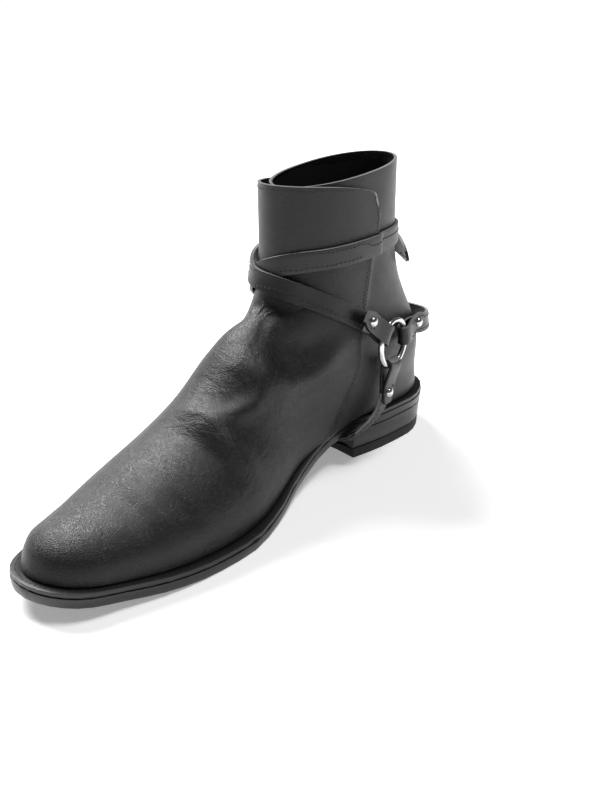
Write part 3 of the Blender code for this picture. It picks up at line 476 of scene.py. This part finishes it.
def strap_rows(piece, centre, out_of, run, angles, insets, reach=0.075):
    """Rows along a band that goes round an axis: for each angle the places at those shares of its width."""
    tree = tree_of(piece)
    rows = [[] for _ in insets]
    for angle in angles:
        out = out_of(math.radians(angle))
        hits = []
        for step in np.arange(-reach, reach, ACROSS_STEP):
            hit, normal, _, _ = tree.ray_cast(centre + run * step + out * OUTSIDE, -out)
            if hit and normal.dot(out) > OUTER_FACE:
                hits.append((hit, normal))
        if len(hits) < FEWEST_HITS:
            continue
        for row, share in zip(rows, insets):
            row.append(hits[int(round(share * (len(hits) - 1)))])
    return rows


def round_shaft(angle):
    return Vector((math.sin(angle), -math.cos(angle), 0))


SHAFT_CORE = Vector((0, -0.040, 0.105))
UP = Vector((0, 0, 1))
rows = strap_rows(flap_panel, SHAFT_CORE + UP * 0.03, round_shaft, UP, range(-62, 63, 3), (0.95,), reach=0.06)
flap_tree = tree_of(flap_panel)
# Down each side the row keeps this angle from the flap's edge, which is found degree by degree.
EDGE_INSET = math.radians(4.5)
SIDE_FROM, SIDE_TO = 0.134, 0.156
TO_THE_CORE = 0.14
for sign in (1, -1):
    row = []
    for height in np.arange(SIDE_FROM, SIDE_TO, 0.001):
        angle = 0.0
        level = SHAFT_CORE + UP * (height - SHAFT_CORE.z)
        out = round_shaft(sign * angle)
        while flap_tree.ray_cast(level + out * OUTSIDE, -out, TO_THE_CORE)[0]:
            angle += math.radians(1)
            out = round_shaft(sign * angle)
        out = round_shaft(sign * (angle - EDGE_INSET))
        hit, normal, _, _ = flap_tree.ray_cast(level + out * OUTSIDE, -out)
        if hit and angle > 0:
            row.append((hit, normal))
    rows.append(row)
stitches("flap_stitches", rows, FINE_PITCH, FINE_THREAD, "black_calf")


# Straps: doubled calf, edges inked and burnished, with a row of stitches near each edge. Two cross over
# the ankle, one stands off the heel and one passes under the waist.
# Strap calf: cut thicker than the upper and rubbed by wear, so it looks a little greyer beside it.
strap_hide = hide("strap_calf", "#0f0f11", "#1b1a1d", 0.0010, 0.00008, 0.38, 0.05,
                  Specular_IOR_Level=0.45, IOR=1.5)
UNDER = Vector((-0.003, -0.045, 0.045))
HIGHLIGHT_FACING_UP = 0.45


def paint_edge_highlight(piece):
    """Paints a highlight on a strap's upward-facing faces, with the light edge material."""
    piece.data.materials.append(painted_highlight_edge)
    for face in piece.data.polygons:
        face.material_index = int(face.normal.z > HIGHLIGHT_FACING_UP)


def round_waist(angle):
    return Vector((math.sin(angle), 0, -math.cos(angle)))


STRAPS = [
    ("cross_strap_low", "low_cross_strap", SHAFT_CORE, round_shaft, UP, range(78, -97, -4)),
    ("cross_strap_high", "high_cross_strap", SHAFT_CORE, round_shaft, UP, range(-78, 226, 4)),
    ("heel_strap", "strap_behind_heel", Vector((0, -0.010, 0.071)), round_shaft, UP, range(92, 270, 4)),
    ("arch_strap", "strap_under_waist", UNDER, round_waist, Vector((0, 1, 0)), range(-88, 89, 4)),
]
STITCH_SHARES = (0.17, 0.83)
STRAP_PITCH = 0.0029
STRAP_THREAD = 0.00045
rows = []
for node, name, centre, out_of, run, angles in STRAPS:
    strap = copy_of(node, name)
    rounded(strap, 1, edge=0.0004)
    hand_over(strap, strap_hide, "strap_leather", node)
    paint_edge_highlight(strap)
    rows += strap_rows(strap, centre, out_of, run, angles, STITCH_SHARES)
stitches("strap_stitches", rows, STRAP_PITCH, STRAP_THREAD, "strap_leather")

keeper = copy_of("strap_keeper", "keeper_loop")
rounded(keeper, 1, edge=0.0003)
hand_over(keeper, strap_hide, "strap_leather", "strap_keeper")


# Rings, rivets and buckle: plated steel, polished. The rings are bent from wire and welded, the rivets
# are domed caps pressed over a post.
# Plated steel, polished: bright, with a faint haze of handling that spreads its reflections unevenly.
polished_steel, shader = surface("plated_steel", 0.16, metallic=1.0)
where = add_node(polished_steel, "ShaderNodeTexCoord")
haze = add_node(polished_steel, "ShaderNodeTexNoise", {"Scale": 1 / 0.003, "Detail": 4.0},
                {"Vector": where.outputs["Object"]})
shade = add_node(polished_steel, "ShaderNodeMixRGB",
                 {"Color1": linear("#b9babd"), "Color2": linear("#d6d6d8")},
                 {"Fac": haze.outputs["Fac"]})
wear = add_node(polished_steel, "ShaderNodeMapRange", {"To Min": 0.12, "To Max": 0.28},
                {"Value": haze.outputs["Fac"]})
polished_steel.node_tree.links.new(shade.outputs["Color"], shader.inputs["Base Color"])
polished_steel.node_tree.links.new(wear.outputs["Result"], shader.inputs["Roughness"])

RING_RADIUS = 0.0138
RING_WIRE = 0.0017
RING_TURN = math.radians(6)
WELD = 0.0012
WELD_WAIST = 0.94
RIVET_RADIUS = 0.0030
RIVET_PROUD = 0.0004
for side, sign in (("medial", 1), ("lateral", -1)):
    low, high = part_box(f"ring_{side}")
    turn = RING_TURN if sign > 0 else math.pi - RING_TURN
    bpy.ops.object.select_all(action="DESELECT")
    bpy.ops.mesh.primitive_torus_add(major_segments=96, minor_segments=20, major_radius=RING_RADIUS,
                                     minor_radius=RING_WIRE, location=(low + high) / 2,
                                     rotation=(0, math.pi / 2, turn))
    ring = bpy.context.object
    ring.name = f"steel_ring_{side}"
    # The weld is a shallow waist in the wire, at the top of the ring.
    middle = (low + high) / 2
    bpy.ops.object.transform_apply(location=True, rotation=True, scale=True)
    crown = middle + Vector((0, 0, RING_RADIUS))
    for vertex in ring.data.vertices:
        if abs(vertex.co.y - middle.y) < WELD and vertex.co.z > middle.z:
            vertex.co = crown + (vertex.co - crown) * WELD_WAIST
    bpy.ops.object.shade_smooth()
    hand_over(ring, polished_steel, "plated_steel", f"ring_{side}")

    for place_name in ("front", "heel", "arch"):
        node = f"rivet_{place_name}_{side}"
        low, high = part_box(node)
        middle = (low + high) / 2
        middle.x = low.x if sign > 0 else high.x
        bpy.ops.object.select_all(action="DESELECT")
        bpy.ops.mesh.primitive_uv_sphere_add(segments=28, ring_count=14, radius=RIVET_RADIUS)
        rivet = bpy.context.object
        rivet.name = f"domed_{node}"
        bpy.ops.object.mode_set(mode="EDIT")
        bpy.ops.mesh.select_all(action="SELECT")
        bpy.ops.mesh.bisect(plane_co=(0, 0, 0), plane_no=(0, 0, 1), clear_inner=True, use_fill=True)
        bpy.ops.object.mode_set(mode="OBJECT")
        rivet.scale = (1, 1, (high.x - low.x + RIVET_PROUD) / RIVET_RADIUS)
        rivet.rotation_euler = (0, math.pi / 2, RING_TURN if sign > 0 else math.pi - RING_TURN)
        rivet.location = middle
        bpy.ops.object.transform_apply(location=True, rotation=True, scale=True)
        bpy.ops.object.shade_smooth_by_angle(angle=math.radians(50))
        hand_over(rivet, polished_steel, "plated_steel", node)

for node, name in (("buckle_frame", "buckle_wire"), ("buckle_prong", "buckle_tongue")):
    piece = copy_of(node, name, fold=80)
    rounded(piece, 2)
    hand_over(piece, polished_steel, "plated_steel", node)


# Studio: a plain pale floor, a broad soft light high on the outer side, and a weaker one overhead.
bpy.ops.object.select_all(action="DESELECT")
bpy.ops.mesh.primitive_plane_add(size=80)
floor = bpy.context.object
floor.name = "pale_floor"
# Matt backdrop paper: it gives off a little light, so that shadows on it stay as pale as on well-lit paper.
paper, shader = surface("pale_paper", 0.8, Emission_Color=linear("#ffffff"), Emission_Strength=0.3)
where = add_node(paper, "ShaderNodeTexCoord")
tone = add_node(paper, "ShaderNodeTexNoise", {"Scale": 1 / 0.3}, {"Vector": where.outputs["Object"]})
shade = add_node(paper, "ShaderNodeMixRGB", {"Color1": linear("#f8f8f8"), "Color2": linear("#fbfbfb")},
                 {"Fac": tone.outputs["Fac"]})
paper.node_tree.links.new(shade.outputs["Color"], shader.inputs["Base Color"])
floor.data.materials.append(paper)

AIM = Vector((0, -0.09, 0.06))
for name, spot, spread, energy in (
    ("wide_window", (-0.9, 0.05, 1.0), 34, 4.8),
    ("overhead", (0.20, 0.10, 1.0), 22, 1.6),
):
    light = bpy.data.lights.new(name, "SUN")
    light.angle = math.radians(spread)
    light.energy = energy
    lamp = bpy.data.objects.new(name, light)
    lamp.location = spot
    lamp.rotation_euler = (AIM - Vector(spot)).to_track_quat("-Z", "Y").to_euler()
    SCENE.collection.objects.link(lamp)

world = bpy.data.worlds.new("white_room")
world.use_nodes = True
background = world.node_tree.nodes["Background"]
background.inputs["Color"].default_value = linear("#f7f7f8")
# The room is white to look at, and weak as a light, so that the black leather keeps its depth.
rays = add_node(world, "ShaderNodeLightPath")
strength = add_node(world, "ShaderNodeMapRange", {"To Min": 0.12, "To Max": 1.1},
                    {"Value": rays.outputs["Is Camera Ray"]})
world.node_tree.links.new(strength.outputs["Result"], background.inputs["Strength"])
SCENE.world = world
SCENE.view_settings.view_transform = "Standard"

# Camera: the place, turn, tilt and roll from which the boot is seen, in metres and radians.
PLACE = Vector((0.310381, -0.415599, 0.246167))
YAW, PITCH, ROLL = -0.73055, 0.421085, -0.012919
ahead = Vector((math.sin(YAW) * math.cos(PITCH), math.cos(YAW) * math.cos(PITCH), -math.sin(PITCH)))
right = Vector((math.cos(YAW), -math.sin(YAW), 0))
up = right.cross(ahead)
rolled_right = math.cos(ROLL) * right + math.sin(ROLL) * up
rolled_up = math.cos(ROLL) * up - math.sin(ROLL) * right
lens = bpy.data.cameras.new("camera")
lens.sensor_width = 36
lens.lens = 38.592
lens.clip_start = 0.01
camera = bpy.data.objects.new("camera", lens)
facing = Matrix((rolled_right, rolled_up, -ahead)).transposed().to_4x4()
camera.matrix_world = Matrix.Translation(PLACE) @ facing
SCENE.collection.objects.link(camera)
SCENE.camera = camera
